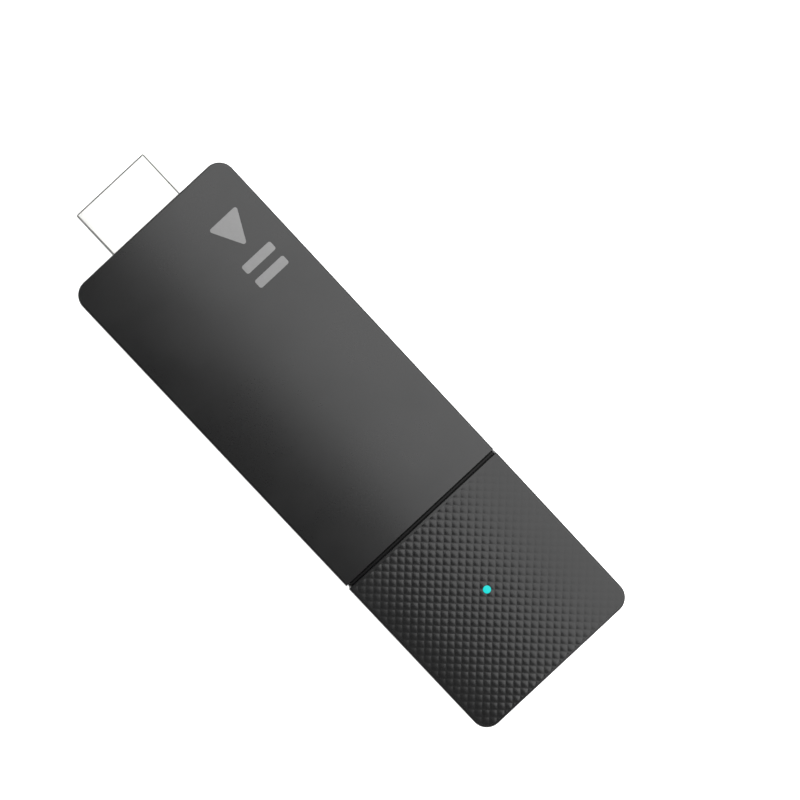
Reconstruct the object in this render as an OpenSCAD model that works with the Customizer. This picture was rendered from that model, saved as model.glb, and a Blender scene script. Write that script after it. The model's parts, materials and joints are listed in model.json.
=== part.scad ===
// Streaming media stick: a flat two-part case with a textured cap at the rear, a video plug at the
// front, a power inlet in the rear wall, and the board and radio that the case holds.
// +Y runs along the case towards the plug, +X to its right, +Z out of its top face.
// The origin is the centre of the bottom of the whole object's box, plug included.

/* [Case] */
// Length of the case, without the plug
body_l = 91.6; // [91:0.2:95]
// Width of the case
body_w = 30.5; // [30:0.1:32]
// Height of the case
body_h = 13.2; // [13.2:0.1:14]
// Radius of the four upright corners
corner_r = 2.6; // [2.6:0.1:3.6]
// Radius of the edge round the top face
top_edge_r = 0.4; // [0.3:0.05:0.6]
// Radius of the edge round the bottom face
bottom_edge_r = 0.9; // [0.7:0.1:1.1]
// Thickness of the side and end walls
wall = 1.3; // [1.2:0.1:1.4]
// Thickness of the roof and the floor
skin = 1.2; // [1.1:0.1:1.3]
// Height of the shadow line between the two covers
part_gap = 0.1; // [0.05:0.05:0.2]

/* [Seam and cap] */
// Length of the smooth front section
front_l = 60.3; // [60:0.1:61]
// Width of the groove between the covers and the cap
groove_w = 0.6; // [0.6:0.05:1.1]
// Width of the bead that stands in the groove
bead_w = 0.25; // [0.2:0.05:0.4]
// Depth of the bead's crown below the case surface
bead_drop = 0.3; // [0.2:0.05:0.5]
// Depth of the collar's rim beside the bead, below the case surface
rim_drop = 0.6; // [0.5:0.05:0.9]
// Chamfer on the edges of the covers and the cap at the groove
mouth_chamfer = 0.1; // [0.05:0.05:0.2]
// Depth of the pocket that holds the cap's pyramid texture
pocket_d = 0.3; // [0.2:0.05:0.35]
// Width of the plain rim round the texture
pocket_rim = 0.45; // [0.4:0.05:0.8]

/* [Status light] */
// Distance of the status light from the rear wall's outer face
light_from_rear = 16.3; // [14:0.1:17]
// Diameter of the light pipe where it shows
pipe_d = 1.3; // [1.1:0.1:1.8]

/* [Video plug] */
// Width of the plug shell
plug_w = 13.9; // [13.8:0.05:13.95]
// Height of the plug shell
plug_h = 4.45; // [4.35:0.05:4.5]
// Length of plug that stands out of the case
plug_out = 8.4; // [8:0.1:11.5]
// Thickness of the plug's sheet metal
plug_sheet = 0.3; // [0.25:0.05:0.35]

/* [Power inlet] */
// Width of the inlet shell
inlet_w = 7.5; // [7.4:0.1:7.6]
// Height of the inlet shell
inlet_h = 2.9; // [2.8:0.1:3]
// Depth of the inlet shell
inlet_l = 5.2; // [5:0.1:5.4]

/* [Reset button] */
// Length of the button along the case
button_l = 4.2; // [3.6:0.2:5]
// Height of the button
button_h = 1.8; // [1.6:0.1:2]
// Travel of the button
button_travel = 0.35; // [0.25:0.05:0.4]
// Distance of the button from the rear wall's outer face
button_from_rear = 7.8; // [7.4:0.2:9]

/* [Board] */
// Width of the circuit board
board_w = 24.4; // [24:0.1:24.8]
// Thickness of the circuit board
board_t = 1; // [0.8:0.1:1]

/* [Hidden] */

// Smoothness of bores and corners, and of small edge radii
$fn = 48;
edge_fn = 32;
// Overshoot of a cutting shape, the clearance of a loose fit, and that of pieces that just meet
cut = 1;
fit = 0.1;
touch = 0.02;

total_l = body_l + plug_out;
y_rear = -total_l / 2;
y_front = y_rear + body_l;
y_mid = (y_rear + y_front) / 2;
y_seam = y_front - front_l;
y_cap = y_seam - groove_w;
half_w = body_w / 2;
z_split = body_h / 2;
z_roof = body_h - skin;
cap_skin = skin - 0.2;
z_cap_roof = body_h - pocket_d - cap_skin;

// The tongue that centres the top cover in the bottom one
lip_t = 0.5;
lip_h = 0.9;
// How far a boss, stake or rail runs into the wall that it stands on
root = 0.2;

// The board lies on the plug's own middle plane
z_axis = body_h / 2;
z_board = z_axis - board_t / 2;
z_top = z_axis + board_t / 2;
y_board_front = y_front - 4.8;
y_board_rear = y_rear + 2.8;
y_plug = y_board_front + fit;
y_inlet = y_rear + 0.5;
inlet_play = 0.5;
inlet_sheet = 0.3;

// The collar that joins the covers and the cap
ring_in = wall + fit;
ring_t = 1.1;
ring_front = 4;
ring_rear = 3.5;

// Screws and the bosses that take them
screw_x = 10;
screw_ys = [y_front - 8.6, y_seam + 7.4];
screw_d = 1.6;
screw_l = 4;
screw_head_d = 2.9;
screw_head_h = 0.9;
boss_d = 3.8;
boss_floor = 1;

// Shielded group on the top of the board
can_w = 21;
can_l = 32;
can_h = 1.8;
can_t = 0.2;
can_r = 0.6;
y_can = y_seam + 27;
chip_h = 1.2;
y_chip = y_can + 6;
y_memory = y_can - 8.5;
z_lid = z_top + can_h;
pad_h = 1.2;
z_spreader = z_lid + can_t + pad_h;
spreader_t = z_roof - z_spreader - 0.4;
spreader_w = 24;
spreader_l = 44;
stake_d = 1.2;
stake_x = spreader_w / 2 - 2;
stake_y = spreader_l / 2 - 2;

// Status light, radio, leads and antennas
y_light = y_rear + light_from_rear;
led_h = 0.6;
y_radio = y_cap - 6.4;
lead_d = 0.8;
lead_x = 9;
lead_bend = 2;
lead_run = 3;
lead_plug_r = 1;
antenna_t = 0.15;
x_antenna = half_w - wall - 0.05 - antenna_t;

// Reset button and its switch
y_button = y_rear + button_from_rear;
switch_h = 1.8;
z_button = z_top + switch_h / 2;
x_switch = board_w / 2 + 0.1;
x_flange = half_w - wall - 0.75;
flange_t = 0.6;
button_sunk = 0.1;
plunger_d = 1.2;
plunger_l = 1.8;

// Label on the bottom
label_l = 37;
label_w = 17;
label_t = 0.15;
label_pocket = 0.2;

// Colours
c_case = [0.17, 0.17, 0.175];
c_cap = [0.2, 0.2, 0.205];
c_black = [0.05, 0.05, 0.055];
c_nickel = [0.82, 0.82, 0.8];
c_gold = [0.83, 0.66, 0.3];
c_board = [0.04, 0.22, 0.14];
c_chip = [0.09, 0.09, 0.1];
c_tin = [0.7, 0.71, 0.72];
c_light = [0.12, 0.94, 0.9];

// ---- Shared shapes ----

// A plan or section with four rounded corners, centred on the origin
module round_rect(w, l, r) {
    square([w - 2 * r, l], center = true);
    square([w, l - 2 * r], center = true);
    for (sx = [-1, 1], sy = [-1, 1])
        translate([sx * (w / 2 - r), sy * (l / 2 - r)]) circle(r = r);
}

// The right half of the case's section, with its top and bottom edge radii
module half_section(r) {
    translate([0, body_h / 2]) square([r - top_edge_r, body_h / 2]);
    square([r - bottom_edge_r, body_h / 2]);
    translate([0, bottom_edge_r]) square([r, body_h - top_edge_r - bottom_edge_r]);
    translate([r - top_edge_r, body_h - top_edge_r]) circle(r = top_edge_r, $fn = edge_fn);
    translate([r - bottom_edge_r, bottom_edge_r]) circle(r = bottom_edge_r, $fn = edge_fn);
}

module full_section(r) {
    half_section(r);
    mirror([1, 0]) half_section(r);
}

// The outside of the whole case: rounded corners joined by bars of the same section
module case_solid() {
    translate([0, y_mid, 0]) {
        for (sx = [-1, 1], sy = [-1, 1])
            translate([sx * (half_w - corner_r), sy * (body_l / 2 - corner_r), 0])
                rotate_extrude() half_section(corner_r);
        translate([0, body_l / 2 - corner_r, 0])
            rotate([90, 0, 0]) linear_extrude(body_l - 2 * corner_r) full_section(half_w);
        translate([corner_r - half_w, 0, 0])
            rotate([90, 0, 90]) linear_extrude(body_w - 2 * corner_r) full_section(body_l / 2);
    }
}

// A space of the case's plan, set in from its outside
module case_inside(inset, z0, z1) {
    translate([0, y_mid, z0])
        linear_extrude(z1 - z0)
            round_rect(body_w - 2 * inset, body_l - 2 * inset, corner_r - inset);
}

// A slice of space across the case, from y0 to y1 and z0 to z1
module slice(y0, y1, z0, z1) {
    translate([-body_w, y0, z0]) cube([2 * body_w, y1 - y0, z1 - z0]);
}

// A block centred on x and y, standing on z
module block(w, l, h, x, y, z) {
    translate([x - w / 2, y - l / 2, z]) cube([w, l, h]);
}

// A frame round the case's section between y0 and y1, standing "inset" inside the surface
module section_ring(y0, y1, outer_in, inner_w, inner_z0, inner_z1) {
    translate([0, y1, 0])
        rotate([90, 0, 0])
            linear_extrude(y1 - y0)
                difference() {
                    translate([0, body_h / 2])
                        round_rect(body_w - 2 * outer_in, body_h - 2 * outer_in, top_edge_r);
                    translate([-inner_w / 2, inner_z0]) square([inner_w, inner_z1 - inner_z0]);
                }
}

// Square bars that cut the chamfers round a mouth of the case at y
module mouth_chamfers(y) {
    side = mouth_chamfer * sqrt(2);
    for (z = [0, body_h])
        translate([-body_w, y, z])
            rotate([45, 0, 0]) translate([0, -side / 2, -side / 2]) cube([2 * body_w, side, side]);
    for (sx = [-1, 1])
        translate([sx * half_w, y, -cut])
            rotate([0, 0, 45])
                translate([-side / 2, -side / 2, 0]) cube([side, side, body_h + 2 * cut]);
}

// The plug's outline: a flat top, upright sides and slanted lower corners
module plug_outline(grow) {
    w = plug_w / 2 + grow;
    h = plug_h / 2 + grow;
    side = plug_h * 0.05;
    foot = plug_w * 0.37 + grow;
    polygon([[-w, h], [-w, -side], [-foot, -h], [foot, -h], [w, -side], [w, h]]);
}

// The power inlet's outline
module inlet_outline(grow) {
    w = inlet_w / 2 + grow;
    h = inlet_h / 2 + grow;
    side = inlet_h * 0.08;
    foot = inlet_w * 0.36 + grow;
    polygon([[-w, h], [-w, -side], [-foot, -h], [foot, -h], [w, -side], [w, h]]);
}

// A prism of a 2-D outline along Y, centred on the board's middle plane
module along_y(y0, y1) {
    translate([0, y1, z_axis]) rotate([90, 0, 0]) linear_extrude(y1 - y0) children();
}

// ---- Case ----

module top_cover() {
    color(c_case) {
        difference() {
            intersection() {
                case_solid();
                slice(y_seam, y_front + cut, z_split + part_gap / 2, body_h + cut);
            }
            case_inside(wall, 0, z_roof);
            mouth_chamfers(y_seam);
            along_y(y_front - 2 * wall, y_front + cut) plug_outline(fit);
        }
        difference() {
            intersection() {
                case_inside(wall - lip_t, z_split - lip_h, z_split + 2 * part_gap);
                slice(y_seam, y_front, 0, body_h);
            }
            case_inside(wall, 0, body_h);
            along_y(y_front - 2 * wall, y_front + cut) plug_outline(fit);
        }
        for (sx = [-1, 1], sy = [-1, 1])
            translate([sx * stake_x, y_can + sy * stake_y, z_spreader])
                cylinder(d = stake_d, h = z_roof - z_spreader + root);
    }
}

module bottom_cover() {
    color(c_case) {
        difference() {
            intersection() {
                case_solid();
                slice(y_seam, y_front + cut, -cut, z_split - part_gap / 2);
            }
            case_inside(wall, skin, body_h);
            case_inside(wall - lip_t - fit, z_split - lip_h - fit, body_h);
            mouth_chamfers(y_seam);
            along_y(y_front - 2 * wall, y_front + cut) plug_outline(fit);
            block(label_w + 2 * fit, label_l + 2 * fit, 2 * label_pocket, 0, y_can, -label_pocket);
        }
        for (sx = [-1, 1], y = screw_ys)
            translate([sx * screw_x, y, skin - root])
                difference() {
                    cylinder(d = boss_d, h = z_board - skin + root);
                    translate([0, 0, boss_floor]) cylinder(d = screw_d + fit, h = z_board);
                }
    }
}

module neck_ring() {
    y0 = y_cap - ring_rear;
    y1 = y_seam + ring_front;
    y_bead = (y_cap + y_seam) / 2;
    inner_w = body_w - 2 * (ring_in + ring_t);
    z0 = skin + fit + ring_t;
    z1 = z_cap_roof - fit - ring_t;
    color(c_black) {
        translate([0, y1, 0])
            rotate([90, 0, 0])
                linear_extrude(y1 - y0)
                    difference() {
                        translate([-half_w + ring_in, skin + fit])
                            square([body_w - 2 * ring_in, z_cap_roof - skin - 2 * fit]);
                        translate([-inner_w / 2, z0]) square([inner_w, z1 - z0]);
                    }
        section_ring(y_cap + touch, y_seam - touch, rim_drop, inner_w, z0, z1);
        section_ring(y_bead - bead_w / 2, y_bead + bead_w / 2, bead_drop, inner_w, z0, z1);
    }
}

module end_cap() {
    rail_w = 2.6;
    rail_l = 9;
    rail_h = 1;
    rail_x = half_w - wall - rail_w / 2 + root;
    color(c_cap) {
        difference() {
            intersection() {
                case_solid();
                slice(y_rear - cut, y_cap, -cut, body_h + cut);
            }
            intersection() {
                case_inside(wall, skin, z_cap_roof);
                slice(y_rear, y_cap + cut, 0, body_h);
            }
            texture_pocket();
            mouth_chamfers(y_cap);
            translate([0, y_light, z_cap_roof - cut])
                cylinder(d = pipe_d + 2 * fit, h = cap_skin + 2 * cut);
            along_y(y_rear - cut, y_rear + 2 * wall)
                round_rect(inlet_w + 2 * inlet_play, inlet_h + 2 * inlet_play, 0.8);
            translate([half_w - 2 * wall, y_button, z_button])
                rotate([90, 0, 90])
                    linear_extrude(3 * wall) round_rect(button_l + 2 * fit, button_h + 2 * fit, 0.5);
        }
        for (sx = [-1, 1])
            block(rail_w, rail_l, rail_h, sx * rail_x, y_rear + wall + rail_l / 2 - root,
                z_board - rail_h - touch);
    }
}

// The shallow pocket in the cap's top that the texture stands in
module texture_pocket() {
    l = y_cap - y_rear;
    translate([0, 0, body_h - pocket_d])
        linear_extrude(1)
            intersection() {
                translate([0, y_mid])
                    round_rect(body_w - 2 * pocket_rim, body_l - 2 * pocket_rim, corner_r - pocket_rim);
                translate([-body_w, y_rear + pocket_rim])
                    square([2 * body_w, l - 2 * pocket_rim]);
            }
}

module rating_label() {
    color([0.3, 0.3, 0.31])
        translate([0, y_can, label_pocket - label_t])
            linear_extrude(label_t) round_rect(label_w, label_l, 1);
}

// ---- Video plug ----

module plug_shell() {
    leg_l = 3;
    leg_h = 1.6;
    window_w = 1.6;
    window_l = 2.4;
    window_x = 3;
    color(c_nickel) {
        difference() {
            along_y(y_plug, y_front + plug_out) plug_outline(0);
            along_y(y_plug - cut, y_front + plug_out + cut) plug_outline(-plug_sheet);
            for (sx = [-1, 1])
                block(window_w, window_l, 2 * plug_sheet, sx * window_x, y_front + plug_out * 0.55,
                    z_axis - plug_h / 2 - plug_sheet / 2);
        }
        for (sx = [-1, 1])
            block(plug_sheet, leg_l, leg_h, sx * (plug_w / 2 - plug_sheet / 2),
                y_plug - leg_l / 2 + root, z_axis - fit);
    }
}

module plug_insulator() {
    y0 = y_plug;
    y1 = y_front + plug_out - 0.5;
    slot_w = 11.4;
    slot_h = board_t + 0.3;
    heel_l = 2.2;
    color(c_black) {
        difference() {
            along_y(y0, y1) plug_outline(-plug_sheet);
            along_y(y0 - cut, y1 + cut) square([slot_w, slot_h], center = true);
        }
        along_y(y0, y0 + heel_l) square([slot_w + 2 * root, board_t], center = true);
    }
}

module plug_contacts() {
    y0 = y_board_front - 2;
    l = y_front + plug_out - 1 - y0;
    strip_w = 0.45;
    strip_t = 0.15;
    pitch = 1;
    color(c_gold) {
        for (x = [-4.5:pitch:4.5]) block(strip_w, l, strip_t, x, y0 + l / 2, z_top);
        for (x = [-4:pitch:4]) block(strip_w, l, strip_t, x, y0 + l / 2, z_board - strip_t);
    }
}

// ---- Power inlet ----

module inlet_shell() {
    tab_w = 1.4;
    tab_l = 1.8;
    tab_t = 0.25;
    color(c_nickel) {
        difference() {
            along_y(y_inlet, y_inlet + inlet_l) inlet_outline(0);
            along_y(y_inlet - cut, y_inlet + inlet_l + cut) inlet_outline(-inlet_sheet);
        }
        for (sx = [-1, 1])
            block(tab_w, tab_l, tab_t, sx * (inlet_w / 2 + tab_w / 2 - fit), y_board_rear + 1.2, z_top);
    }
}

module inlet_insulator() {
    heel_l = 1.4;
    tongue_w = 3.9;
    tongue_l = inlet_l - 0.8;
    tongue_t = 0.5;
    y1 = y_inlet + inlet_l;
    color(c_black) {
        difference() {
            along_y(y1 - heel_l, y1) inlet_outline(-inlet_sheet);
            block(tongue_w - 0.3, 3 * heel_l, 0.15, 0, y1, z_top);
        }
        block(tongue_w, tongue_l, tongue_t, 0, y1 - tongue_l / 2, z_top - tongue_t);
    }
}

module inlet_contacts() {
    l = inlet_l + 0.8;
    strip_w = 0.3;
    strip_t = 0.12;
    pitch = 0.65;
    color(c_gold)
        for (i = [-2:2]) block(strip_w, l, strip_t, i * pitch, y_inlet + 1 + l / 2, z_top);
}

// ---- Board and what it carries ----

module circuit_board() {
    slot_play = 0.3;
    leg_slot_l = 3;
    color(c_board)
        difference() {
            translate([0, (y_board_front + y_board_rear) / 2, z_board])
                linear_extrude(board_t)
                    round_rect(board_w, y_board_front - y_board_rear, 1);
            for (sx = [-1, 1], y = screw_ys)
                translate([sx * screw_x, y, z_board - cut])
                    cylinder(d = screw_d + 2 * fit, h = board_t + 2 * cut);
            for (sx = [-1, 1])
                block(plug_sheet + slot_play, 2 * leg_slot_l, board_t + 2 * cut,
                    sx * (plug_w / 2 - plug_sheet / 2), y_board_front, z_board - cut);
            block(inlet_w + slot_play, 2 * (y_inlet + inlet_l + fit - y_board_rear),
                board_t + 2 * cut, 0, y_board_rear, z_board - cut);
        }
}

module board_screws() {
    drive_w = 1.6;
    drive_t = 0.35;
    drive_h = 0.4;
    color(c_tin)
        for (sx = [-1, 1], y = screw_ys)
            translate([sx * screw_x, y, z_top])
                difference() {
                    union() {
                        cylinder(d = screw_head_d, h = screw_head_h);
                        translate([0, 0, -screw_l]) cylinder(d = screw_d, h = screw_l + root);
                    }
                    for (a = [0, 90])
                        rotate([0, 0, a]) block(drive_w, drive_t, 1, 0, 0, screw_head_h - drive_h);
                }
}

// The big packages: processor, memory, and flash on the underside
module processor() {
    side = 13;
    color(c_chip) block(side, side, chip_h, 0, y_chip, z_top);
}

module memory_chips() {
    w = 8;
    l = 10;
    h = 1;
    color(c_chip)
        for (sx = [-1, 1]) block(w, l, h, sx * 4.6, y_memory, z_top);
}

module flash_chip() {
    w = 11.5;
    l = 13;
    h = 1;
    color(c_chip) block(w, l, h, 0, y_can + 4, z_board - h);
}

// The radio's own small board, under a tin lid set in from its edges
module radio_module() {
    w = 13;
    l = 10;
    base_h = 0.5;
    lid_h = 1.3;
    color(c_tin) {
        block(w, l, base_h, 0, y_radio, z_top);
        block(w - 1, l - 1, lid_h, 0, y_radio, z_top + base_h);
    }
}

module power_chips() {
    color(c_chip) {
        block(4, 4, 0.8, -5.5, y_can - 9, z_board - 0.8);
        block(3, 3, 0.8, 0, y_can - 9, z_board - 0.8);
        block(3, 2.6, 0.9, 7, y_board_rear + 7, z_board - 0.9);
    }
}

module power_inductors() {
    color([0.2, 0.2, 0.21]) {
        for (i = [0:2]) block(3.2, 3.2, 1.6, i * 5 - 5, y_can - 13.4, z_board - 1.6);
        block(4, 4, 2, -7, y_board_rear + 7, z_board - 2);
    }
}

module crystals() {
    color(c_tin) {
        block(3.2, 2.5, 0.8, 8.4, y_chip - 2, z_top);
        block(2.5, 2, 0.7, -9.2, y_radio + 7.6, z_top);
    }
}

module capacitors() {
    color([0.62, 0.5, 0.36]) {
        for (sx = [-1, 1], i = [0:5])
            block(0.8, 1.6, 0.8, sx * 8.6, y_can - 2 + i * 2.6, z_board - 0.8);
        for (i = [0:6]) block(1, 0.5, 0.5, i * 1.5 - 4.5, y_chip + 8, z_top);
        for (sx = [-1, 1], i = [0:3])
            block(1.6, 0.8, 0.8, sx * 5.6, y_board_rear + 11 + i * 1.6, z_board - 0.8);
    }
}

module signal_chips() {
    color(c_chip) {
        block(5, 5, 0.9, 0, y_board_front - 6.2, z_top);
        for (sx = [-1, 1]) block(2, 1.2, 0.6, sx * 4, y_board_front - 10.4, z_top);
        block(4, 3, 0.9, -7.4, y_light - 4, z_top);
    }
}

module shield_frame() {
    color(c_tin)
        translate([0, y_can, z_top])
            linear_extrude(can_h)
                difference() {
                    round_rect(can_w, can_l, can_r);
                    round_rect(can_w - 2 * can_t, can_l - 2 * can_t, can_r - can_t);
                }
}

module shield_lid() {
    pitch = 2.4;
    hole_d = 1.2;
    color(c_tin)
        difference() {
            translate([0, y_can, z_lid]) linear_extrude(can_t) round_rect(can_w, can_l, can_r);
            for (i = [0:6])
                translate([(i - 3) * pitch, y_memory, z_lid - cut])
                    cylinder(d = hole_d, h = can_t + 2 * cut);
        }
}

module lower_shield() {
    drop = 2.2;
    color(c_tin)
        difference() {
            translate([0, y_can, z_board - drop])
                linear_extrude(drop) round_rect(can_w, can_l, can_r);
            translate([0, y_can, z_board - drop + can_t])
                linear_extrude(drop)
                    round_rect(can_w - 2 * can_t, can_l - 2 * can_t, can_r - can_t);
        }
}

module thermal_pads() {
    color([0.55, 0.6, 0.68]) {
        block(12, 12, can_h - chip_h, 0, y_chip, z_top + chip_h);
        block(14, 14, pad_h, 0, y_chip, z_lid + can_t);
    }
}

module heat_spreader() {
    color(c_tin)
        difference() {
            translate([0, y_can, z_spreader])
                linear_extrude(spreader_t) round_rect(spreader_w, spreader_l, 2);
            for (sx = [-1, 1], sy = [-1, 1])
                translate([sx * stake_x, y_can + sy * stake_y, z_spreader - cut])
                    cylinder(d = stake_d + 2 * fit, h = spreader_t + 2 * cut);
        }
}

// ---- Radio leads and antennas ----

module antennas() {
    l = 12;
    h = 6.6;
    color([0.75, 0.5, 0.2])
        for (sx = [-1, 1])
            block(antenna_t, l, h, sx * (x_antenna + antenna_t / 2), y_radio - 4.8, z_axis - h / 2 - 0.2);
}

module antenna_plugs() {
    color(c_gold)
        for (sx = [-1, 1])
            translate([sx * lead_x, y_radio, z_top]) cylinder(r = lead_plug_r, h = 1.2);
}

// Each lead runs back from its plug, turns outwards and ends on its antenna
module antenna_leads() {
    y_turn = y_radio - lead_plug_r - lead_run;
    z_lead = z_top + 0.7;
    color([0.1, 0.1, 0.1])
        for (sx = [-1, 1])
            translate([sx * lead_x, 0, z_lead]) {
                translate([0, y_radio - lead_plug_r, 0])
                    rotate([90, 0, 0]) cylinder(d = lead_d, h = lead_run, $fn = 24);
                translate([sx * lead_bend, y_turn, 0])
                    rotate([0, 0, sx > 0 ? 180 : 270])
                        rotate_extrude(angle = 90)
                            translate([lead_bend, 0]) circle(d = lead_d, $fn = 24);
                translate([sx * lead_bend, y_turn - lead_bend, 0])
                    rotate([0, sx * 90, 0])
                        cylinder(d = lead_d, h = x_antenna - lead_x - lead_bend, $fn = 24);
            }
}

// ---- Status light ----

module status_led() {
    w = 1.6;
    l = 0.8;
    color([0.9, 0.9, 0.85]) block(w, l, led_h, 0, y_light, z_top);
}

module light_pipe() {
    flange_d = 2.6;
    flange_h = 0.6;
    z0 = z_top + led_h + 0.2;
    z1 = body_h - 0.03;
    color(c_light)
        translate([0, y_light, 0]) {
            translate([0, 0, z0]) cylinder(d = pipe_d, h = z1 - z0);
            translate([0, 0, z_cap_roof - touch - flange_h]) cylinder(d = flange_d, h = flange_h);
        }
}

// ---- Reset button ----

module reset_switch() {
    w = 3;
    l = 3.5;
    bore_l = 1.7;
    color(c_chip)
        difference() {
            block(w, l, switch_h, x_switch - w / 2, y_button, z_top);
            translate([x_switch - bore_l, y_button, z_button])
                rotate([0, 90, 0]) cylinder(d = plunger_d + 2 * fit, h = bore_l + cut);
        }
}

module switch_plunger() {
    color([0.85, 0.83, 0.78])
        translate([x_flange - plunger_l, y_button, z_button])
            rotate([0, 90, 0]) cylinder(d = plunger_d, h = plunger_l);
}

module reset_button() {
    color(c_black)
        translate([x_flange, y_button, z_button])
            rotate([90, 0, 90]) {
                linear_extrude(flange_t) round_rect(button_l + 1.6, button_h + 1.2, 0.6);
                linear_extrude(half_w - button_sunk - x_flange) round_rect(button_l, button_h, 0.4);
            }
}

top_cover();
bottom_cover();
neck_ring();
end_cap();
rating_label();
plug_shell();
plug_insulator();
plug_contacts();
inlet_shell();
inlet_insulator();
inlet_contacts();
circuit_board();
board_screws();
processor();
memory_chips();
flash_chip();
radio_module();
power_chips();
power_inductors();
crystals();
capacitors();
signal_chips();
shield_frame();
shield_lid();
lower_shield();
thermal_pads();
heat_spreader();
antennas();
antenna_leads();
antenna_plugs();
status_led();
light_pipe();
reset_switch();
switch_plunger();
reset_button();
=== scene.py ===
import json
import math

import bmesh
import bpy
from mathutils import Matrix, Vector


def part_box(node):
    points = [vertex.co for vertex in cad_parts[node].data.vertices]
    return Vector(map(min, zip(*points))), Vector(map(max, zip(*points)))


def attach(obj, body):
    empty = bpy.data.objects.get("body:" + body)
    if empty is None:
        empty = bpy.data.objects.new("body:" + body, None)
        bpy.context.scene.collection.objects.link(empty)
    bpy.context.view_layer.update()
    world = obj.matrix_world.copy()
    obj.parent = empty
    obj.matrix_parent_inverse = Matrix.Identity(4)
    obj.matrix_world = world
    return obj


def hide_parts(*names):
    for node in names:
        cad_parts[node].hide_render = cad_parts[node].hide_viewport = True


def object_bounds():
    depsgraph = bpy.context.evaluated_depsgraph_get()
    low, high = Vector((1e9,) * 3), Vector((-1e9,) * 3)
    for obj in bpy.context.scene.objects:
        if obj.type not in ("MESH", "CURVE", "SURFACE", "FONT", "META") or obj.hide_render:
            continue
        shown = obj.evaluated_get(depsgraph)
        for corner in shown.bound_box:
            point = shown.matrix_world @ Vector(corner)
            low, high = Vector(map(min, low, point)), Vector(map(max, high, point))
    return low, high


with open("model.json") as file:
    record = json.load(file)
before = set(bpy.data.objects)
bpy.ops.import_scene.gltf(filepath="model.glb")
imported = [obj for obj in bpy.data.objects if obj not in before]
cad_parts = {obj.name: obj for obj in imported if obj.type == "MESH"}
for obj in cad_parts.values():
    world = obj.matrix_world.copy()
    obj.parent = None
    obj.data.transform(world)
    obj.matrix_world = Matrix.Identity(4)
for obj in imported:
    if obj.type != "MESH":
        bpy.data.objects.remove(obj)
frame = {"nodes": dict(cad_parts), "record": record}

# metres; +Y runs towards the video plug, +Z is up, the stick lies on z = 0
mm = 0.001
cadBounds = [list(corner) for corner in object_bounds()]
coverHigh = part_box("top_cover")[1]
capLow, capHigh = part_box("end_cap")
plugLow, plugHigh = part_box("plug_shell")
lightLow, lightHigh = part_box("light_pipe")
boardLow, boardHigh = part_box("circuit_board")
labelLow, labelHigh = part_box("rating_label")
caseMiddle = (capLow + coverHigh) / 2
axisZ = (plugLow.z + plugHigh.z) / 2


class Num:
    # a number socket that can be added, multiplied and compared like a plain number
    def __init__(self, graph, socket):
        self.graph = graph
        self.socket = socket

    def math(self, operation, *values):
        return self.graph.num("ShaderNodeMath", {"operation": operation}, dict(enumerate(values)))

    def __add__(self, other):
        return self.math("ADD", self, other)

    def __radd__(self, other):
        return self.math("ADD", other, self)

    def __sub__(self, other):
        return self.math("SUBTRACT", self, other)

    def __rsub__(self, other):
        return self.math("SUBTRACT", other, self)

    def __mul__(self, other):
        return self.math("MULTIPLY", self, other)

    def __rmul__(self, other):
        return self.math("MULTIPLY", other, self)

    def __gt__(self, other):
        return self.math("GREATER_THAN", self, other)

    def __lt__(self, other):
        return self.math("LESS_THAN", self, other)

    def __abs__(self):
        return self.math("ABSOLUTE", self)

    def root(self):
        return self.math("SQRT", self)

    def most(self, other):
        return self.math("MAXIMUM", self, other)

    def step(self, low, high, toLow=0.0, toHigh=1.0):
        # eases from toLow to toHigh while the value goes from low to high
        settings = {"interpolation_type": "SMOOTHSTEP"}
        values = {"Value": self, "From Min": low, "From Max": high, "To Min": toLow, "To Max": toHigh}
        return self.graph.num("ShaderNodeMapRange", settings, values)


class Graph:
    # adds nodes to a shader tree or a geometry tree
    def __init__(self, tree):
        self.tree = tree

    def add(self, kind, settings=None, values=None):
        node = self.tree.nodes.new(kind)
        for name, value in (settings or {}).items():
            setattr(node, name, value)
        for key, value in (values or {}).items():
            value = getattr(value, "socket", value)
            if isinstance(value, bpy.types.NodeSocket):
                self.tree.links.new(value, node.inputs[key])
            else:
                node.inputs[key].default_value = value
        return node

    def num(self, kind, settings=None, values=None, output=0):
        return Num(self, self.add(kind, settings, values).outputs[output])

    def vector(self, *parts):
        return self.add("ShaderNodeCombineXYZ", None, dict(enumerate(parts))).outputs[0]

    def parts(self, vector):
        return [Num(self, socket) for socket in self.add("ShaderNodeSeparateXYZ", None, {0: vector}).outputs]


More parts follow.
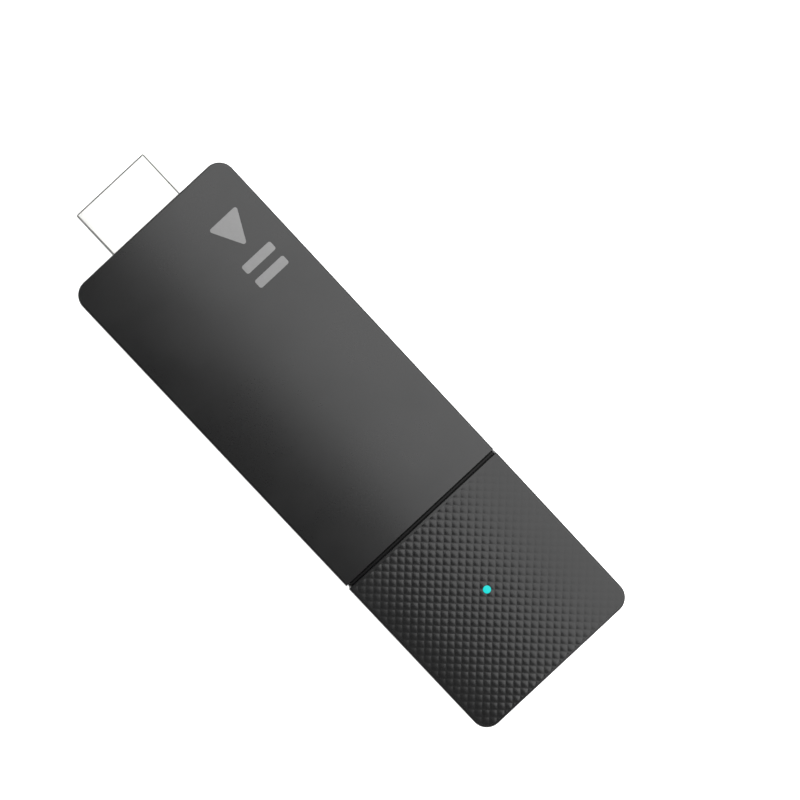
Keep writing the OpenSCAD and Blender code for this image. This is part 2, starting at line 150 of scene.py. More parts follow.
class Finish(Graph):
    # one material: a Principled shader with its fixed sockets, and the patterns that feed it
    def __init__(self, name, fixed):
        self.material = bpy.data.materials.new(name)
        self.material.use_nodes = True
        super().__init__(self.material.node_tree)
        self.shader = self.tree.nodes["Principled BSDF"]
        for socket, value in fixed.items():
            self.shader.inputs[socket].default_value = value

    def feed(self, socket, value):
        self.tree.links.new(getattr(value, "socket", value), self.shader.inputs[socket])

    def coords(self, centre=(0, 0, 0), stretch=(1, 1, 1), turn=(0, 0, 0)):
        where = self.add("ShaderNodeTexCoord").outputs["Object"]
        values = {"Vector": where, "Location": centre, "Rotation": turn, "Scale": stretch}
        return self.add("ShaderNodeMapping", {"vector_type": "TEXTURE"}, values).outputs[0]

    def noise(self, where, size, detail=2.0, rough=0.5):
        values = {"Vector": where, "Scale": 1.0 / size, "Detail": detail, "Roughness": rough}
        return self.num("ShaderNodeTexNoise", None, values)

    def cells(self, where, size):
        return self.num("ShaderNodeTexVoronoi", None, {"Vector": where, "Scale": 1.0 / size})

    def mix(self, factor, first, second):
        return self.add("ShaderNodeMix", {"data_type": "RGBA"}, {0: factor, 6: first, 7: second}).outputs[2]

    def tones(self, factor, colour, darkest, lightest):
        return self.mix(factor, rgba(colour, darkest), rgba(colour, lightest))

    def bump(self, height, depth):
        node = self.add("ShaderNodeBump", None, {"Height": height, "Distance": depth})
        self.feed("Normal", node.outputs[0])


def rgba(colour, gain=1.0):
    return (*[min(1.0, part * gain) for part in colour], 1.0)


def mouldedPlastic(name, colour, roughness, gloss=0.5, grainDepth=0.0006 * mm, smudge=0.05):
    # satin moulding: spark grain, slow flow tone and faint handling marks
    finish = Finish(name, {"IOR": 1.5, "Specular IOR Level": gloss})
    where = finish.coords()
    grain = finish.noise(where, 0.16 * mm, 3.0, 0.6)
    handled = finish.noise(where, 14 * mm, 4.0, 0.55).step(0.42, 0.72)
    flow = finish.noise(where, 45 * mm)
    mottle = finish.noise(where, 0.9 * mm)
    tone = flow * 0.5 + mottle * 0.3 + grain * 0.2
    finish.feed("Base Color", finish.tones(tone, colour, 0.75, 1.25))
    finish.feed("Roughness", roughness + (grain - 0.5) * 0.08 + (handled - 0.3) * smudge)
    finish.bump(grain, grainDepth)
    return finish.material


def metalSheet(name, colour, roughness, drawn=(1, 14, 1), lineDepth=0.0006 * mm, paintedBendShade=1.0):
    # plated sheet: lines drawn along one direction, cloudy plating and light rubbing;
    # the last argument paints shade: it darkens the plating's colour where the sheet turns away from the
    # view round its bends
    finish = Finish(name, {"Metallic": 1.0})
    lines = finish.noise(finish.coords(stretch=drawn), 0.12 * mm, 3.0, 0.6)
    where = finish.coords()
    cloud = finish.noise(where, 2.5 * mm, 3.0)
    rubbed = finish.noise(where, 6 * mm, 4.0, 0.6).step(0.5, 0.75)
    plating = finish.tones(cloud * 0.6 + lines * 0.4, colour, 0.9, 1.04)
    # painted shade: a mask of where the surface faces away from the view, which darkens the colour below
    turned = finish.num("ShaderNodeLayerWeight", None, {"Blend": 0.5}, 1).step(0.02, 0.4)
    finish.feed("Base Color", finish.mix(turned, plating, rgba(colour, paintedBendShade)))
    finish.feed("Roughness", roughness + (lines - 0.5) * 0.12 + rubbed * 0.06)
    finish.bump(lines, lineDepth)
    return finish.material


def chipPackage(name, colour, roughness):
    # moulded or sintered package: coarse filler speckle over faint flow
    finish = Finish(name, {"IOR": 1.55})
    where = finish.coords()
    speckle = finish.noise(where, 0.07 * mm, 2.0, 0.7)
    flow = finish.noise(where, 3 * mm, 3.0)
    finish.feed("Base Color", finish.tones(speckle * 0.6 + flow * 0.4, colour, 0.7, 1.3))
    finish.feed("Roughness", roughness + (speckle - 0.5) * 0.15)
    finish.bump(speckle, 0.004 * mm)
    return finish.material


def softRubber(name, colour, roughness):
    # soft silicone: dull, dusty and slightly pitted
    finish = Finish(name, {"IOR": 1.42})
    where = finish.coords()
    pits = finish.cells(where, 0.35 * mm)
    dust = finish.noise(where, 1.4 * mm, 4.0, 0.6)
    finish.feed("Base Color", finish.tones(dust, colour, 0.85, 1.15))
    finish.feed("Roughness", roughness + dust * 0.12)
    finish.bump(pits, 0.01 * mm)
    return finish.material


def solderMask(name, colour, padColour):
    # mask over copper: raised tracks at 45 degrees and bare plated pads
    finish = Finish(name, {"IOR": 1.5, "Coat Weight": 0.3, "Coat Roughness": 0.15})
    turned = finish.coords(turn=(0, 0, math.radians(45)))
    bricks = {"Vector": turned, "Scale": 1.0 / (1.1 * mm), "Mortar Size": 0.06}
    track = finish.num("ShaderNodeTexBrick", {"offset": 0.37}, bricks, 1)
    pad = finish.cells(finish.coords(), 1.6 * mm).step(0.14, 0.17, 1.0, 0.0)
    mask = finish.tones(track, colour, 1.0, 1.6)
    finish.feed("Base Color", finish.mix(pad, mask, rgba(padColour)))
    finish.feed("Metallic", pad)
    finish.feed("Roughness", 0.42 - pad * 0.14)
    finish.bump(track + pad * 0.5, 0.02 * mm)
    return finish.material


ratingLabel = {
    "colour": (0.05, 0.05, 0.052),
    "line": (0.2, 0.2, 0.2),
    "lineInset": 0.7 * mm,     # from the label's edge to the middle of the printed line
    "lineWidth": 0.2 * mm,
}


def labelFilm(name):
    # dull printed film: a thin frame line round a blank field, over a fine screen
    finish = Finish(name, {"IOR": 1.45})
    x, y = finish.parts(finish.coords(centre=tuple((labelLow + labelHigh) / 2)))[:2]
    half = (labelHigh - labelLow) / 2
    fromLine = abs((abs(x) - half.x).most(abs(y) - half.y) + ratingLabel["lineInset"])
    line = fromLine.step(0.35 * ratingLabel["lineWidth"], 0.65 * ratingLabel["lineWidth"], 1.0, 0.0)
    where = finish.coords()
    screen = finish.noise(where, 0.09 * mm, 2.0, 0.6)
    wear = finish.noise(where, 5 * mm, 4.0)
    field = finish.tones(screen * 0.5 + wear * 0.5, ratingLabel["colour"], 0.8, 1.25)
    finish.feed("Base Color", finish.mix(line, field, rgba(ratingLabel["line"])))
    finish.feed("Roughness", 0.5 + (wear - 0.5) * 0.15)
    finish.bump(screen, 0.002 * mm)
    return finish.material


statusLens = {
    "glow": (0.0135, 0.756, 0.722),
    "rim": (0.004, 0.16, 0.15),
    "rimFrom": 0.86,           # where the glow starts to fall off, as a share of the radius
    "dome": 0.08 * mm,
    "sunk": 0.02 * mm,         # top of the dome below the case's top face
    "radius": 0.65 * mm,
    "flangeRadius": (lightHigh.x - lightLow.x) / 2,
    "flangeHeight": 0.6 * mm,
    "flangeTop": capHigh.z - 1.32 * mm,
    "centre": (0.0, (lightLow.y + lightHigh.y) / 2, 0.0),
}


def litResin(name):
    # clear pipe lit from below: an even glow that falls off where it meets the cap
    fixed = {"IOR": 1.49, "Specular IOR Level": 0.15, "Roughness": 0.3, "Emission Strength": 1.0}
    finish = Finish(name, fixed)
    x, y = finish.parts(finish.coords(centre=statusLens["centre"]))[:2]
    radius = statusLens["radius"]
    rim = (x * x + y * y).root().step(statusLens["rimFrom"] * radius, radius)
    haze = finish.noise(finish.coords(), 0.15 * mm)
    finish.feed("Emission Color", finish.mix(rim, rgba(statusLens["glow"]), rgba(statusLens["rim"])))
    finish.feed("Base Color", finish.tones(haze, statusLens["rim"], 0.04, 0.08))
    finish.bump(haze, 0.001 * mm)
    return finish.material


satinBlack = (0.0052, 0.0052, 0.0054)
finishes = {
    "case_plastic": mouldedPlastic("case_plastic", satinBlack, 0.3),
    "cap_plastic": mouldedPlastic("cap_plastic", satinBlack, 0.3, gloss=0.44),
    "collar_plastic": mouldedPlastic("collar_plastic", (0.003, 0.003, 0.003), 0.42, gloss=0.14),
    "button_plastic": mouldedPlastic("button_plastic", (0.004, 0.004, 0.004), 0.55, gloss=0.25),
    "plunger_plastic": mouldedPlastic("plunger_plastic", (0.6, 0.57, 0.5), 0.4),
    "insulator_black": mouldedPlastic("insulator_black", (0.01, 0.01, 0.011), 0.5),
    "mark_ink": mouldedPlastic("mark_ink", (0.165, 0.165, 0.165), 0.55, smudge=0.02),
    "led_body": mouldedPlastic("led_body", (0.8, 0.79, 0.72), 0.3),
    "lead_jacket": softRubber("lead_jacket", (0.02, 0.02, 0.02), 0.5),
    "thermal_rubber": softRubber("thermal_rubber", (0.36, 0.42, 0.5), 0.7),
    # the plug and inlet shells get painted shade, a darker colour at their bends, from the last argument
    "plug_nickel": metalSheet("plug_nickel", (0.86, 0.86, 0.84), 0.22, paintedBendShade=0.3),
    "inlet_steel": metalSheet("inlet_steel", (0.72, 0.72, 0.71), 0.26, paintedBendShade=0.6),
    "screw_steel": metalSheet("screw_steel", (0.6, 0.6, 0.61), 0.3, drawn=(1, 1, 1)),
    "shield_tin": metalSheet("shield_tin", (0.7, 0.71, 0.72), 0.32),
    "contact_gold": metalSheet("contact_gold", (0.86, 0.62, 0.24), 0.18),
    "antenna_copper": metalSheet("antenna_copper", (0.72, 0.4, 0.16), 0.3),
    "spreader_aluminium": metalSheet("spreader_aluminium", (0.76, 0.77, 0.78), 0.36),
    "board_laminate": solderMask("board_laminate", (0.01, 0.09, 0.05), (0.8, 0.6, 0.3)),
    "chip_black": chipPackage("chip_black", (0.022, 0.022, 0.024), 0.5),
    "ferrite": chipPackage("ferrite", (0.07, 0.07, 0.075), 0.6),
    "capacitor_ceramic": chipPackage("capacitor_ceramic", (0.36, 0.25, 0.15), 0.45),
    "label_film": labelFilm("label_film"),
    "status_light": litResin("status_light"),
}


def dressFrame():
    # every node of the frame takes the finish of its own slot
    slots = {part["node"]: part["material_slot"] for part in frame["record"]["subparts"]}
    for node, piece in frame["nodes"].items():
        for holder in piece.material_slots:
            holder.material = finishes[slots[node]]


def scratchObject(name, mesh):
    piece = bpy.data.objects.new(name, mesh)
    bpy.context.scene.collection.objects.link(piece)
    return piece


def newPiece(name, mesh, slot, replaced=()):
    piece = scratchObject(name, mesh)
    if not mesh.materials:
        mesh.materials.append(finishes[slot])
    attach(piece, "case")
    if replaced:
        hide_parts(*replaced)
    return piece


def meshOf(form, name, crease=None):
    # faces turned outwards; with a crease angle the mesh is smooth except at sharper edges
    mesh = bpy.data.meshes.new(name)
    bmesh.ops.recalc_face_normals(form, faces=form.faces)
    if crease is not None:
        for face in form.faces:
            face.smooth = True
        for edge in form.edges:
            edge.smooth = len(edge.link_faces) == 2 and edge.calc_face_angle() < math.radians(crease)
    form.to_mesh(mesh)
    form.free()
    return mesh


def roundedOutline(corners, radius, grow, steps):
    # a convex outline, its corners given anticlockwise: rounded, then grown outwards
    points = []
    for i, corner in enumerate(corners):
        before = (corner - corners[i - 1]).normalized()
        after = (corners[(i + 1) % len(corners)] - corner).normalized()
        first = Vector((before.y, -before.x))
        last = Vector((after.y, -after.x))
        half = first.angle(last) / 2
        centre = corner - (first + last).normalized() * (radius / math.cos(half))
        start = math.atan2(first.y, first.x)
        for k in range(steps + 1):
            turn = start + 2 * half * k / steps
            points.append(centre + Vector((math.cos(turn), math.sin(turn))) * (radius + grow))
    return points


def rectangle(low, high):
    return [Vector(low), Vector((high[0], low[1])), Vector(high), Vector((low[0], high[1]))]


def joinRings(form, rings, closed=False):
    # skins a row of point rings with quads; open rows are capped, closed ones meet their start
    rows = [[form.verts.new(point) for point in ring] for ring in rings]
    pairs = list(zip(rows, rows[1:])) + ([(rows[-1], rows[0])] if closed else [])
    for low, high in pairs:
        for k in range(len(low)):
            n = (k + 1) % len(low)
            form.faces.new((low[k], low[n], high[n], high[k]))
    if not closed:
        form.faces.new(rows[0])
        form.faces.new(rows[-1])


def addPrism(form, outline, lowZ, highZ):
    joinRings(form, [[Vector((p.x, p.y, z)) for p in outline] for z in (lowZ, highZ)])


def addBlock(form, low, high):
    addPrism(form, rectangle(low[:2], high[:2]), low[2], high[2])


def cutFrom(piece, tool):
    # takes the tool's solid out of the piece and removes the tool
    modifier = piece.modifiers.new("cut", "BOOLEAN")
    modifier.solver = "EXACT"
    modifier.object = tool
    bpy.context.view_layer.update()
    mesh = bpy.data.meshes.new_from_object(piece.evaluated_get(bpy.context.evaluated_depsgraph_get()))
    piece.modifiers.clear()
    piece.data = mesh
    bpy.data.objects.remove(tool)


plugShell = {
    "sheet": 0.3 * mm,
    "corner": 0.4 * mm,        # outside radius along the long edges
    "lip": 0.3 * mm,           # depth of the mouth's rounding
    "shoulder": 0.05,          # start of the slanted sides below the middle, as a share of the height
    "foot": 0.37,              # half width of the underside, as a share of the width
    "crease": 35,
    "window": (1.6 * mm, 2.4 * mm),
    "windowX": 3 * mm,
    "windowAt": 0.55,          # place along the part that stands out of the case
    "windowCorner": 0.35 * mm,
    "seam": 0.07 * mm,         # folded seam along the underside
    "legDrop": 0.1 * mm,
    "legHeight": 1.6 * mm,
    "legLap": 0.1 * mm,        # how far the legs reach into the sleeve
}
inletShell = {
    "sheet": 0.3 * mm,
    "corner": 0.4 * mm,
    "lip": 0.15 * mm,
    "shoulder": 0.08,
    "foot": 0.36,
    "crease": 35,
    "tab": (1.4 * mm, 1.8 * mm, 0.25 * mm),
    "tabFromEdge": 0.3 * mm,
}


def addShell(form, width, height, backY, mouthY, facts):
    # one closed skin: out along the outside, round the mouth and back along the inside
    w, h = width / 2, height / 2
    shoulder, foot = facts["shoulder"] * height, facts["foot"] * width
    points = ((-foot, -h), (foot, -h), (w, -shoulder), (w, h), (-w, h), (-w, -shoulder))
    corners = [Vector(point) for point in points]
    inwards = facts["lip"] if mouthY > backY else -facts["lip"]
    stations = [(0.0, backY)]
    bends = 8
    for k in range(bends + 1):
        turn = math.pi * k / bends
        grow = -facts["sheet"] / 2 * (1 - math.cos(turn))
        stations.append((grow, mouthY - inwards * (1 - math.sin(turn))))
    stations.append((-facts["sheet"], backY))
    rings = []
    for grow, y in stations:
        outline = roundedOutline(corners, facts["corner"], grow, 6)
        rings.append([Vector((p.x, y, axisZ + p.y)) for p in outline])
    joinRings(form, rings, closed=True)


def makePlugShell():
    facts = plugShell
    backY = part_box("plug_insulator")[0].y
    width, height = plugHigh.x - plugLow.x, plugHigh.z - plugLow.z
    form = bmesh.new()
    addShell(form, width, height, backY, plugHigh.y, facts)
    sleeve = scratchObject("sleeve", meshOf(form, "sleeve"))
    # two spring windows and the seam in the underside
    windowY = coverHigh.y + (plugHigh.y - coverHigh.y) * facts["windowAt"]
    cutters = bmesh.new()
    for side in (-1, 1):
        centre = Vector((side * facts["windowX"], windowY))
        half = Vector(facts["window"]) / 2
        outline = roundedOutline(rectangle(centre - half, centre + half), facts["windowCorner"], 0.0, 4)
        addPrism(cutters, outline, plugLow.z - facts["sheet"], plugLow.z + 1.5 * facts["sheet"])
    addBlock(cutters, (-facts["seam"] / 2, backY - mm, plugLow.z - facts["sheet"]),
             (facts["seam"] / 2, plugHigh.y + mm, plugLow.z + facts["sheet"] / 2))
    cutFrom(sleeve, scratchObject("cutters", meshOf(cutters, "cutters")))
    form = bmesh.new()
    form.from_mesh(sleeve.data)
    bpy.data.objects.remove(sleeve)
    for side in (-1, 1):       # solder legs beside the board
        inner, outer = sorted((side * (width / 2 - facts["sheet"]), side * width / 2))
        lowZ = axisZ - facts["legDrop"]
        high = (outer, backY + facts["legLap"], lowZ + facts["legHeight"])
        addBlock(form, (inner, plugLow.y, lowZ), high)
    return newPiece("video_plug_shell", meshOf(form, "video_plug_shell", facts["crease"]),
                    "plug_nickel", ["plug_shell"])


def makeInletShell():
    facts = inletShell
    shellLow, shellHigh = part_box("inlet_shell")
    liningLow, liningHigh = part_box("inlet_insulator")
    width = liningHigh.x - liningLow.x + 2 * facts["sheet"]
    form = bmesh.new()
    addShell(form, width, shellHigh.z - shellLow.z, shellHigh.y, shellLow.y, facts)
    tabWidth, tabLength, tabHeight = facts["tab"]
    for side in (-1, 1):       # tabs soldered to the board
        inner, outer = sorted((side * (shellHigh.x - tabWidth), side * shellHigh.x))
        low = (inner, boardLow.y + facts["tabFromEdge"], boardHigh.z)
        addBlock(form, low, (outer, low[1] + tabLength, low[2] + tabHeight))
    return newPiece("power_inlet_shell", meshOf(form, "power_inlet_shell", facts["crease"]),
                    "inlet_steel", ["inlet_shell"])


def makeLens():
    # turned on its axis: a pipe with a low dome, and the flange under the cap's roof
    facts = statusLens
    radius, flangeRadius = facts["radius"], facts["flangeRadius"]
    flangeTop, flangeLow = facts["flangeTop"], facts["flangeTop"] - facts["flangeHeight"]
    profile = [(0.0, lightLow.z), (radius, lightLow.z), (radius, flangeLow),
               (flangeRadius, flangeLow), (flangeRadius, flangeTop), (radius, flangeTop)]
    shoulder = capHigh.z - facts["sunk"] - facts["dome"]
    bends = 8
    for k in range(bends + 1):
        lift = math.pi / 2 * k / bends
        profile.append((radius * math.cos(lift), shoulder + facts["dome"] * math.sin(lift)))
    form = bmesh.new()
    centre = Vector(facts["centre"])
    verts = [form.verts.new(centre + Vector((r, 0, z))) for r, z in profile]
    edges = [form.edges.new(pair) for pair in zip(verts, verts[1:])]
    bmesh.ops.spin(form, geom=verts + edges, cent=centre, axis=(0, 0, 1), angle=math.tau, steps=40)
    bmesh.ops.remove_doubles(form, verts=form.verts, dist=1e-7)
    return newPiece("status_lens", meshOf(form, "status_lens", 35), "status_light", ["light_pipe"])


printedMark = {
    "across": 0.59,            # place across the cover's half width, from the centreline
    "fromFront": 12.9 * mm,    # from the front wall to the mark's middle
    "length": 11.6 * mm,
    "height": 5.8 * mm,
    "bar": 0.13,               # width of a bar, as a share of the length
    "barStep": 1.9,            # from one bar's start to the next, in widths of a bar
    "triangle": 0.47,          # length of the triangle, as a share of the length
    "corner": 0.35 * mm,
    "film": 0.012 * mm,
    "bite": 0.005 * mm,        # how far the film reaches into the cover
}


def makeMark():
    # a plain transport sign along the cover: a triangle and two bars
    facts = printedMark
    end, side = facts["length"] / 2, facts["height"] / 2
    bar = facts["bar"] * facts["length"]
    tip = -end + facts["triangle"] * facts["length"]
    shapes = [[Vector((-end, -side)), Vector((tip, 0)), Vector((-end, side))]]
    for start in (end - bar, end - bar - facts["barStep"] * bar):
        shapes.append(rectangle((start, -side), (start + bar, side)))
    centre = Vector((coverHigh.x * facts["across"], coverHigh.y - facts["fromFront"]))
    form = bmesh.new()
    for shape in shapes:
        outline = [centre + Vector((p.y, -p.x)) for p in roundedOutline(shape, facts["corner"], 0.0, 5)]
        addPrism(form, outline, coverHigh.z - facts["bite"], coverHigh.z + facts["film"])
    return newPiece("printed_mark", meshOf(form, "printed_mark"), "mark_ink")


def nodeGroup(name, inputs):
    # a geometry tree with named inputs; returns its graph and the inputs' sockets
    tree = bpy.data.node_groups.new(name, "GeometryNodeTree")
    tree.interface.new_socket("Geometry", in_out="INPUT", socket_type="NodeSocketGeometry")
    tree.interface.new_socket("Geometry", in_out="OUTPUT", socket_type="NodeSocketGeometry")
    for label, given in inputs.items():
        tree.interface.new_socket(label, in_out="INPUT", socket_type="NodeSocket" + given[0])
    graph = Graph(tree)
    source = graph.add("NodeGroupInput")
    return graph, {socket.name: Num(graph, socket) for socket in source.outputs if socket.name}


def finishGroup(graph, geometry, material):
    real = graph.add("GeometryNodeRealizeInstances", None, {"Geometry": geometry}).outputs[0]
    dressed = graph.add("GeometryNodeSetMaterial", None, {"Geometry": real, "Material": material})
    graph.add("NodeGroupOutput", None, {0: dressed.outputs[0]})


def runGroup(piece, graph, inputs):
    # sets the modifier's inputs by identifier and gives the result as a plain mesh
    modifier = piece.modifiers.new("nodes", "NODES")
    modifier.node_group = graph.tree
    for item in graph.tree.interface.items_tree:
        if item.item_type == "SOCKET" and item.in_out == "INPUT" and item.name in inputs:
            modifier[item.identifier] = inputs[item.name][1]
    bpy.context.view_layer.update()
    mesh = bpy.data.meshes.new_from_object(piece.evaluated_get(bpy.context.evaluated_depsgraph_get()))
    bpy.data.objects.remove(piece)
    return mesh


capTexture = {
    "pitch": 1.15 * mm,
    "count": 40,               # cells along each side of the slab, which is then cut to the cap
    "depth": 0.105 * mm,       # height of a pyramid where the texture is deepest
    "land": 0.88,              # side of a pyramid's foot, as a share of the pitch
    "rim": 0.43 * mm,          # plain rim of the cap round the texture
    "corner": 2.15 * mm,
    "pocket": 0.3 * mm,        # depth of the pocket in the cap
    "pocketGap": 0.002 * mm,   # between the pocket's floor and the texture's underside
    "topDrop": 0.004 * mm,     # the peaks stand just below the cap's rim
    "waist": 0.66,             # side of a pyramid part of the way up, as a share of its foot
    "waistLift": 0.6,          # and the height there, as a share of the depth
    "leftFrom": -16.0 * mm,    # across the cap, where the texture reaches its full depth
    "leftTo": -5.0 * mm,
    "leftLeast": 0.4,          # share of the depth left at that side
    "rightFrom": -2.0 * mm,    # and where it flattens again
    "rightTo": 15.0 * mm,
    "rightLeast": 0.15,
    "hole": 0.655 * mm,        # radius of the clearance round the status light
}


def capTextureGroup(inputs):
    graph, given = nodeGroup("capTexture", inputs)
    pitch, depth, top, thick = (given[name] for name in ("Pitch", "Depth", "Top", "Thickness"))
    side, lines = pitch * given["Count"], given["Count"] + 1
    cells = {
        "Size": graph.vector(side, side, thick),
        "Vertices X": lines,
        "Vertices Y": lines,
        "Vertices Z": 2,
    }
    slab = graph.add("GeometryNodeMeshCube", None, cells)
    upward = graph.parts(graph.add("GeometryNodeInputNormal").outputs[0])[2] > 0.5
    mesh, selected = slab.outputs[0], upward
    # each cell gets a flat land first, then its faces bend over a waist and run up to one peak
    shares = ((given["Land"], 0.0), (given["Waist"], given["Waist Lift"]), (0.0, 1 - given["Waist Lift"]))
    for scale, share in shares:
        raised = graph.add("GeometryNodeExtrudeMesh", {"mode": "FACES"},
                           {"Mesh": mesh, "Selection": selected, "Offset Scale": 0.0, "Individual": True})
        selected = raised.outputs["Top"]
        scaled = graph.add("GeometryNodeScaleElements", {"domain": "FACE"},
                           {"Geometry": raised.outputs["Mesh"], "Selection": selected, "Scale": scale})
        lifted = graph.add("GeometryNodeSetPosition", None,
                           {"Geometry": scaled.outputs[0], "Selection": selected,
                            "Offset": graph.vector(0.0, 0.0, depth * share)})
        mesh = lifted.outputs[0]
    merged = graph.add("GeometryNodeMergeByDistance", None, {"Geometry": mesh, "Distance": 1e-6}).outputs[0]
    x, y = graph.parts(given["Centre"])[:2]
    place = graph.vector(x, y, top - depth - thick * 0.5)
    turned = graph.add("GeometryNodeTransform", None, {"Geometry": merged, "Translation": place,
                                                       "Rotation": (0.0, 0.0, math.radians(45))}).outputs[0]
    # the pyramids are shaded as rounded pillows, with a crisp foot against the land
    x, y, z = graph.parts(graph.add("GeometryNodeInputPosition").outputs[0])
    smooth = graph.add("GeometryNodeSetShadeSmooth", None, {"Geometry": turned}).outputs[0]
    foot = {"Geometry": smooth, "Selection": z < top - depth * 0.95, "Shade Smooth": False}
    creased = graph.add("GeometryNodeSetShadeSmooth", {"domain": "EDGE"}, foot).outputs[0]
    # towards both sides everything rises to the level of the peaks, so the texture melts away
    left = x.step(given["Left From"], given["Left To"], given["Left Least"], 1.0)
    kept = left * x.step(given["Right From"], given["Right To"], 1.0, given["Right Least"])
    rise = graph.vector(0.0, 0.0, (top - z) * (1 - kept))
    raisable = z > top - depth * 1.5
    faded = graph.add("GeometryNodeSetPosition", None,
                      {"Geometry": creased, "Selection": raisable, "Offset": rise}).outputs[0]
    trimmed = graph.add("GeometryNodeMeshBoolean", {"operation": "INTERSECT", "solver": "EXACT"})
    for solid in (faded, given["Geometry"].socket):
        graph.tree.links.new(solid, trimmed.inputs["Mesh 2"])
    drill = graph.add("GeometryNodeMeshCylinder", None,
                      {"Vertices": 40, "Radius": given["Hole"], "Depth": thick * 4})
    bit = graph.add("GeometryNodeTransform", None, {"Geometry": drill.outputs[0], "Translation": place})
    drilled = graph.add("GeometryNodeMeshBoolean", {"operation": "DIFFERENCE", "solver": "EXACT"},
                        {"Mesh 1": trimmed.outputs[0], "Mesh 2": bit.outputs[0]})
    finishGroup(graph, drilled.outputs[0], given["Material"])
    return graph


def makeCapTexture():
    facts = capTexture
    rim, bends = facts["rim"], 8
    corners = rectangle((capLow.x + rim, capLow.y + rim), (capHigh.x - rim, capHigh.y - rim))
    # the two rear corners are round; the front two run square into the rim at the groove
    outline = roundedOutline(corners, facts["corner"], 0.0, bends)[:2 * (bends + 1)] + corners[2:]
    form = bmesh.new()
    addPrism(form, outline, capHigh.z - facts["pocket"] + facts["pocketGap"], capHigh.z + mm)
    block = scratchObject("block", meshOf(form, "block"))
    inputs = {
        "Pitch": ("Float", facts["pitch"]),
        "Count": ("Int", facts["count"]),
        "Depth": ("Float", facts["depth"]),
        "Land": ("Float", facts["land"]),
        "Waist": ("Float", facts["waist"]),
        "Waist Lift": ("Float", facts["waistLift"]),
        "Top": ("Float", capHigh.z - facts["topDrop"]),
        "Thickness": ("Float", 2 * facts["pocket"]),
        "Centre": ("Vector", statusLens["centre"]),
        "Left From": ("Float", facts["leftFrom"]),
        "Left To": ("Float", facts["leftTo"]),
        "Left Least": ("Float", facts["leftLeast"]),
        "Right From": ("Float", facts["rightFrom"]),
        "Right To": ("Float", facts["rightTo"]),
        "Right Least": ("Float", facts["rightLeast"]),
        "Hole": ("Float", facts["hole"]),
        "Material": ("Material", finishes["cap_plastic"]),
    }
    mesh = runGroup(block, capTextureGroup(inputs), inputs)
    mesh.name = "cap_texture"
    return newPiece("cap_texture", mesh, "cap_plastic")


studio = {
    "floorReach": 20.0,
    "floorThick": 10 * mm,
    "overHeight": 60 * mm,     # the overhead panel above the case's top face
    "overEdge": -4.6 * mm,     # its left edge, which sets where the top starts to brighten
    "overSize": (160 * mm, 300 * mm),
    "overLight": 2.5,
    "sideReach": 0.55,         # the four panels round the object
    "sideHeight": 0.5,
    "sideSize": (0.5, 0.5),
    "sideLight": 0.5,
    "plugSize": (70 * mm, 60 * mm),     # the panel for the plug alone
    "plugAside": 13.5 * mm,
    "plugAhead": -8 * mm,
    "plugLight": 1.45,
    "wash": 1.0,               # light on the floor alone, which keeps it white to the object's edge
    "sky": 0.17,
}


def makeFloor():
    reach, top = studio["floorReach"], cadBounds[0][2]
    form = bmesh.new()
    addBlock(form, (-reach, -reach, top - studio["floorThick"]), (reach, reach, top))
    mesh = meshOf(form, "floor")
    finish = Finish("floor_paper", {"IOR": 1.4})
    fibre = finish.noise(finish.coords(), 0.8 * mm, 3.0)
    finish.feed("Base Color", finish.tones(fibre, (0.9, 0.9, 0.9), 0.98, 1.02))
    finish.feed("Roughness", 0.75 + fibre * 0.1)
    mesh.materials.append(finish.material)
    floor = scratchObject("floor", mesh)
    return floor


def aim(thing, place, target, up):
    back = (Vector(place) - Vector(target)).normalized()
    right = Vector(up).cross(back).normalized()
    turn = Matrix((right, back.cross(right), back)).transposed()
    thing.matrix_world = Matrix.Translation(place) @ turn.to_4x4()


def addLamp(name, kind, place, target, energy, size=None, only=(), blockers=(), spared=()):
    lamp = bpy.data.lights.new(name, kind)
    lamp.energy = energy
    if size:
        lamp.shape = "RECTANGLE"
        lamp.size, lamp.size_y = size
        lamp.energy = energy * math.pi * size[0] * size[1]     # energy is the panel's radiance
    holder = scratchObject(name, lamp)
    holder.visible_camera = False
    aim(holder, place, target, (0, 1, 0.001))
    for role, things in (("receiver_collection", (*only, *spared)), ("blocker_collection", blockers)):
        if things:
            group = bpy.data.collections.new(name + role)
            for thing in things:
                group.objects.link(thing)
            setattr(holder.light_linking, role, group)
            for entry, thing in zip(group.collection_objects, things):
                entry.light_linking.link_state = "EXCLUDE" if thing in spared else "INCLUDE"


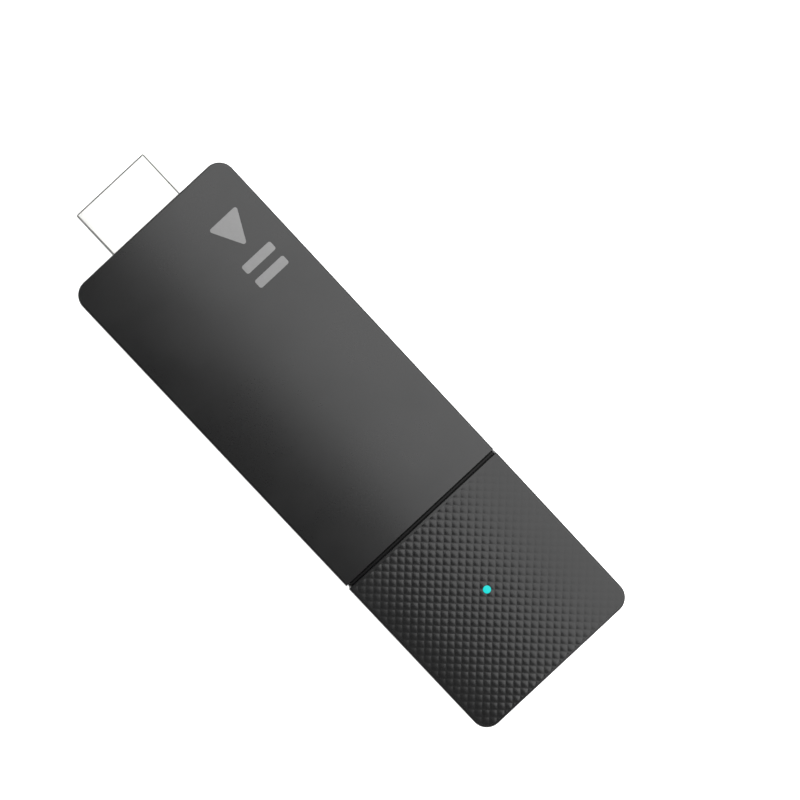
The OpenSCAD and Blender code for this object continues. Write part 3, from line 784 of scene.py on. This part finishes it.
def makeLights(floor, plug):
    facts = studio
    target = Vector((0, caseMiddle.y, coverHigh.z))
    down = Vector((0, 0, -1))
    over = target + Vector((facts["overEdge"] + facts["overSize"][0] / 2, 0, facts["overHeight"]))
    addLamp("overhead", "AREA", over, over + down, facts["overLight"], facts["overSize"], spared=[plug])
    for k in range(4):
        turn = math.radians(45 + 90 * k)
        aside = Vector((math.cos(turn), math.sin(turn), 0)) * facts["sideReach"]
        place = target + aside + Vector((0, 0, facts["sideHeight"]))
        addLamp(f"side{k + 1}", "AREA", place, target, facts["sideLight"], facts["sideSize"])
    above = Vector((facts["plugAside"], plugHigh.y + facts["plugAhead"], coverHigh.z + facts["overHeight"]))
    addLamp("plugPanel", "AREA", above, above + down, facts["plugLight"], facts["plugSize"], only=[plug])
    addLamp("floorWash", "SUN", over, over + down, facts["wash"] * math.pi, only=[floor], blockers=[floor])
    world = bpy.data.worlds.new("studio")
    world.use_nodes = True
    # the sky is white where it is looked at, and dim as a light
    graph = Graph(world.node_tree)
    background = world.node_tree.nodes["Background"]
    background.inputs["Color"].default_value = (1, 1, 1, 1)
    strength = facts["sky"] + graph.num("ShaderNodeLightPath") * (1 - facts["sky"])
    graph.tree.links.new(strength.socket, background.inputs["Strength"])
    bpy.context.scene.world = world


shot = {
    "distance": 300 * mm,
    "lean": 4.2,               # degrees from straight down, towards the plug
    "roll": -42.9,             # degrees that the camera is turned about the upright
    "aside": 9.95 * mm,        # how far right of the case's middle it looks
    "ahead": 0.65 * mm,        # and how far towards the plug
    "frameWidth": 120.6 * mm,  # what the picture spans at the case's top face
}


def makeCamera():
    lens = bpy.data.cameras.new("camera")
    lens.sensor_width = 36.0
    lens.lens = lens.sensor_width * shot["distance"] / shot["frameWidth"]
    lens.clip_start, lens.clip_end = 0.001, 10.0
    camera = scratchObject("camera", lens)
    lean, roll = math.radians(shot["lean"]), math.radians(shot["roll"])
    target = Vector((caseMiddle.x + shot["aside"], caseMiddle.y + shot["ahead"], coverHigh.z))
    place = target + Vector((0, math.sin(lean), math.cos(lean))) * shot["distance"]
    aim(camera, place, target, (-math.sin(roll), math.cos(roll), 0))
    bpy.context.scene.camera = camera


bpy.context.scene.view_settings.view_transform = "Standard"
makeCamera()
floor = makeFloor()
print("stage: camera and floor")
dressFrame()
print("stage: finishes on the frame")
plug = makePlugShell()
makeInletShell()
makeLens()
makeMark()
print("stage: plug, inlet, lens and mark")
makeCapTexture()
print("stage: cap texture")
makeLights(floor, plug)
print("stage: lights")
